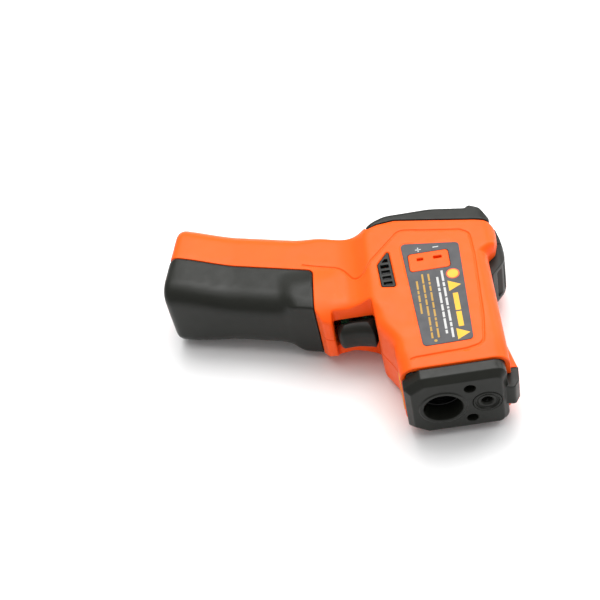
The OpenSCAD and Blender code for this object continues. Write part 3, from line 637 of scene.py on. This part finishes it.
def line_of_bars(x, start, end, high, lengths, space):
    """Bars of the given lengths, in turn, from start to end along the barrel."""
    marks, y, turn = [], start, 0
    while y + lengths[turn % len(lengths)] <= end:
        long = lengths[turn % len(lengths)]
        marks.append(box_mark(x, y + long / 2, high, long))
        y += long + space
        turn += 1
    return marks


def printed(name, marks, ink, slot, side, lift=0.0):
    """Marks of ink on the film of one side, each a thin raised patch."""
    points, faces = [], []
    for mark in marks:
        first, n = len(points), len(mark)
        for rise in (lift, lift + INK):
            points += [(x, y, side * (FILM_FACE + rise)) for x, y in mark]
        top, bottom = range(first + n, first + 2 * n), range(first, first + n)
        faces += [tuple(top)[::-side], tuple(bottom)[::side]]
        faces += [(first + i, first + (i + 1) % n, first + n + (i + 1) % n, first + n + i)[::-side]
                  for i in range(n)]
    mesh = bpy.data.meshes.new(name)
    mesh.from_pydata([tuple((np.array(p) + datum) / 1000) for p in points], [], faces)
    patch = bpy.data.objects.new(name, mesh)
    bpy.context.collection.objects.link(patch)
    fit(patch, "housing", slot, ink)


yellow_ink = finish("yellow_ink", paint(226, 172, 30), 0.55, grain=0.15, depth=0.008, mottle=0.06)
amber_ink = finish("amber_ink", paint(172, 132, 44), 0.55, grain=0.15, depth=0.008, mottle=0.06)
white_ink = finish("white_ink", paint(186, 186, 184), 0.55, grain=0.15, depth=0.008, mottle=0.04)
red_ink = finish("red_ink", paint(228, 74, 30), 0.55, grain=0.15, depth=0.008, mottle=0.05)
SPACE = 0.7
heading = line_of_bars(13, 26, 45.6, 2.3, [8.4, 10.0], 0.8)
triangles = [[(10.6, y - 3.1), (16.2, y), (10.6, y + 3.1)] for y in (49.8, 22)]
small_print = (line_of_bars(2.7, 21.5, 59.5, 0.85, [5.2, 3.1, 1.6, 4.2, 3.4], SPACE)
               + line_of_bars(0, 21.5, 59.5, 0.85, [3.3, 2.6, 4.8, 5.6], SPACE)
               + line_of_bars(-2.8, 36, 59.5, 0.85, [6.2, 3.9, 2.1, 5.0], SPACE)
               + [disc_mark(1.2, 20, 0.7)])
white_print = (line_of_bars(8.8, 20.5, 60, 1.0, [5.4, 2.4, 6.4, 1.2, 4.5], SPACE)
               + line_of_bars(6.4, 23, 58, 1.0, [2.0, 5.8, 3.2, 3.6, 6.4], SPACE))
polarity = [box_mark(0, 74.3, 0.5, 2.6), box_mark(0, 74.3, 2.6, 0.5), box_mark(8, 74.5, 2.6, 0.55)]
for word, side in (("right", 1), ("left", -1)):
    printed(word + "_yellow_print", heading + triangles, yellow_ink, "label_yellow", side)
    printed(word + "_amber_print", small_print, amber_ink, "label_yellow", side)
    printed(word + "_white_print", white_print + (polarity if side > 0 else []), white_ink,
            "label_grey", side)
    printed(word + "_spot", [disc_mark(13.5, 56.8, 3.0)], red_ink, "label_yellow", side)
    printed(word + "_spot_face", [disc_mark(13.5, 56.8, 2.45)], yellow_ink, "label_yellow", side, INK)

slip = Block((-17.2, 9.5, -11.5), (-16.2, 22.8, 11.5), 0.14 * fine)
slip_print = 9
for row, middle in enumerate((0, 0, -1.5, 0.5)):
    half_long = 8 - 2.5 * (row % 2)
    bar = where_all(np.abs(slip.z - middle) - half_long, np.abs(slip.y - 12.2 - 2.4 * row) - 0.45)
    slip_print = np.minimum(slip_print, where_all(bar, span(slip.x, -16.78, -16.58)))
fit(moulded("slip_print", slip, slip_print), "housing", "label_grey", film)

# ---- Trigger --------------------------------------------------------------------------------------
# A black finger trigger turns on a steel pin across the barrel, against a wound wire spring. It is
# moulded in the cap's plastic, with its front hollowed for the finger.
trigger_view = round_path([
    (-24.7, 41.9, 0.8), (-32.5, 44.2, 16), (-40.7, 43.9, 2), (-41.8, 48, 1), (-41.6, 51, 1),
    (-34, 52.6, 4), (-20, 53, 0), (-18, 49, 0), (-22.5, 47, 1.5)])
block, trigger = softened("trigger", 0.15 * fine, 3)
side = np.abs(block.z) - TRIGGER_HALF
blade = trim(to_line(trigger_view, block.x, block.y, closed=True), side, 7)
hub = where_all(np.hypot(block.x - PIN[0], block.y - PIN[1]) - 3, side)
trigger = np.maximum(trigger, np.minimum(blade, hub))
fit(moulded("finger_trigger", block, trigger, coarse=0.05), "trigger", "black_plastic", black, "trigger")


def wire(name, path, thickness, sides=10):
    """A round wire along a line of points."""
    path = np.array(path, float)
    ahead = np.gradient(path, axis=0)
    ahead /= np.linalg.norm(ahead, axis=1, keepdims=True)
    across = np.cross(ahead, (0.31, 0.21, 0.93))
    across /= np.linalg.norm(across, axis=1, keepdims=True)
    other = np.cross(ahead, across)
    points, faces = [], []
    for place, a, b in zip(path, across, other):
        for i in range(sides):
            turn = 2 * math.pi * i / sides
            points.append(place + thickness / 2 * (math.cos(turn) * a + math.sin(turn) * b))
    for ring in range(len(path) - 1):
        for i in range(sides):
            j = (i + 1) % sides
            faces.append((ring * sides + i, ring * sides + j, (ring + 1) * sides + j,
                          (ring + 1) * sides + i))
    faces += [tuple(range(sides))[::-1], tuple(range(len(points) - sides, len(points)))]
    mesh = bpy.data.meshes.new(name)
    mesh.from_pydata([tuple((p + datum) / 1000) for p in points], [], faces)
    mesh.polygons.foreach_set("use_smooth", [True] * len(faces))
    piece = bpy.data.objects.new(name, mesh)
    bpy.context.collection.objects.link(piece)
    return piece


COIL_RADIUS = 2.2
COIL_START = 8.5
WIRE = 0.5
COILS = 2
PER_TURN = 24
coil = []
for i in range(PER_TURN * COILS + 1):
    turn = math.pi / 2 + 2 * math.pi * i / PER_TURN
    coil.append((PIN[0] + COIL_RADIUS * math.cos(turn), PIN[1] + COIL_RADIUS * math.sin(turn),
                 COIL_START + WIRE * i / PER_TURN))
leg = [(PIN[0] - 0.98 * along, PIN[1] + COIL_RADIUS + 0.2 * along, COIL_START + COILS * WIRE)
       for along in (0.6, 2.5, 5, 7.6)]
fit(wire("return_spring", coil + leg, WIRE), "trigger", "steel", steel, "trigger_spring")

# ---- Battery and its door -------------------------------------------------------------------------
# The front of the grip is a black door hinged at the butt on a steel pin. Behind it sits a nine-volt
# battery in its printed jacket, under a snap clip.
places, _ = corners_of("battery_door")
block = Block(places.min(axis=0) - 1.5, places.max(axis=0) + 1.5, 0.25 * fine)
outside = body_form(block)
DOOR_WALL = 2
LUG_SIDES = (5, 9)
above_pin, behind_pin = block.grip_x - HINGE[0], block.grip_y - HINGE[1]
# its lower corner turns round the pin, and two slots clear the shells' lugs as it swings
heel = where_all(span(above_pin, -12, 0), span(behind_pin, 0, 12))
knuckle = np.hypot(above_pin, behind_pin) - KNUCKLE + GAP / 2
zone = np.minimum(where_all(door_area(block, -GAP / 2), -heel), knuckle)
lug_slots = where_all(span(np.abs(block.z), LUG_SIDES[0] - GAP, LUG_SIDES[1] + GAP), above_pin - 3,
                      span(behind_pin, -3.6, 7))
door = where_all(outside, -(outside + DOOR_WALL), zone)
door = np.minimum(door, where_all(inner_form("battery_door", block), outside + 1.2))
door = np.maximum(door, -lug_slots)
fit(moulded("grip_door", block, eased(door, 2), coarse=0.05), "battery_door", "black_plastic", black,
    "battery_door")


def jacket_finish(band_start):
    """Printed foil, near black, with a copper band from a place up the grip to the contacts."""
    material = finish("jacket_print", paint(40, 40, 44), 0.3, grain=0.8, depth=0.006, mottle=0.05)
    nodes, links = material.node_tree.nodes, material.node_tree.links
    up_grip = nodes.new("ShaderNodeVectorMath")
    up_grip.operation = "DOT_PRODUCT"
    up_grip.inputs[1].default_value = (math.cos(RAKE), -math.sin(RAKE), 0)
    links.new(nodes["Texture Coordinate"].outputs["Object"], up_grip.inputs[0])
    band = nodes.new("ShaderNodeMath")
    band.operation = "GREATER_THAN"
    band_x, band_y = np.array(on_grip(band_start, 0)) + datum[:2]
    band.inputs[1].default_value = (band_x * math.cos(RAKE) - band_y * math.sin(RAKE)) / 1000
    links.new(up_grip.outputs["Value"], band.inputs[0])
    inks = nodes.new("ShaderNodeMix")
    inks.data_type = "RGBA"
    inks.inputs[6].default_value = paint(38, 39, 43)
    inks.inputs[7].default_value = paint(178, 108, 58)
    links.new(band.outputs["Value"], inks.inputs[0])
    links.new(inks.outputs[2], nodes["Principled BSDF"].inputs["Base Color"])
    return material


block, cell = softened("battery", 0.3 * fine, 3)
fit(moulded("nine_volt_cell", block, cell), "housing", "battery_jacket", jacket_finish(-27), "battery")
block, clip = softened("battery_clip", 0.18 * fine, 2)
clip_vinyl = finish("clip_vinyl", paint(34, 34, 36), 0.55, grain=0.5, depth=0.03)
fit(moulded("snap_clip", block, clip), "housing", "component_black", clip_vinyl, "battery_clip")

# ---- Screws ---------------------------------------------------------------------------------------
# Six cross-recessed steel screws sit deep in the left half and bite into the posts of the right. They
# are zinc plated and all alike, so they need only their finish.
coat(steel, "housing_screws")

# ---- Floor, light and camera ------------------------------------------------------------------------
# A pale bench under a wide soft box and an even ceiling light, with a smaller box to one side. The
# camera stands in front of the nose and looks down on the right-hand side.
bpy.context.scene.view_settings.view_transform = "Standard"
floor_mesh = bpy.data.meshes.new("bench")
reach, level = 15, cad_box[0][2]
bench_corners = [(-reach, -reach, level), (reach, -reach, level), (reach, reach, level),
                 (-reach, reach, level)]
floor_mesh.from_pydata(bench_corners, [], [(0, 1, 2, 3)])
bench = bpy.data.objects.new("bench", floor_mesh)
bpy.context.collection.objects.link(bench)
bench.data.materials.append(finish("bench_paper", paint(238, 238, 238), 0.8, grain=1.5, mottle=0.01))


def soft_box(name, place, target, width, power):
    """A square area light of a given width that faces a target."""
    light = bpy.data.lights.new(name, "AREA")
    light.size = width
    light.energy = power
    holder = bpy.data.objects.new(name, light)
    holder.location = place
    holder.rotation_euler = (Vector(target) - Vector(place)).to_track_quat("-Z", "Y").to_euler()
    bpy.context.collection.objects.link(holder)


soft_box("top_box", (0.1, 0.4, 0.9), (0, 0, 0), 0.7, 6)
soft_box("side_box", (0.8, 0.5, 0.45), (0, 0, 0), 0.5, 2.5)
sky_light = bpy.data.lights.new("ceiling", "SUN")
sky_light.energy = 2.2
sky_light.angle = 1.3
ceiling = bpy.data.objects.new("ceiling", sky_light)
ceiling.rotation_euler = (math.radians(-14), math.radians(6), 0)
bpy.context.collection.objects.link(ceiling)
world = bpy.data.worlds.new("studio")
bpy.context.scene.world = world
world.use_nodes = True
room, room_links = world.node_tree.nodes, world.node_tree.links
room["Background"].inputs["Strength"].default_value = 0.55
aim = room.new("ShaderNodeTexCoord")
apart = room.new("ShaderNodeSeparateXYZ")
fade = room.new("ShaderNodeValToRGB")
horizon, overhead = fade.color_ramp.elements
horizon.position, overhead.position = 0.0, 0.75
horizon.color, overhead.color = (0.7, 0.7, 0.71, 1), (1, 1, 1, 1)
room_links.new(aim.outputs["Generated"], apart.inputs["Vector"])
room_links.new(apart.outputs["Z"], fade.inputs["Fac"])
room_links.new(fade.outputs["Color"], room["Background"].inputs["Color"])

# the camera: where it stands, which way is up in its view, and the way back from what it looks at
camera = bpy.data.objects.new("camera", bpy.data.cameras.new("camera"))
camera.data.lens = 75
camera.data.sensor_width = 36
eye = Vector((0.03345, -0.37729, 0.4546))
up = Vector((0.153, 0.739, 0.654))
back = Vector((0.086, -0.669, 0.737)).normalized()
right = up.cross(back).normalized()
up = back.cross(right)
camera.matrix_world = Matrix.Translation(eye) @ Matrix((right, up, back)).transposed().to_4x4()
bpy.context.collection.objects.link(camera)
bpy.context.scene.camera = camera
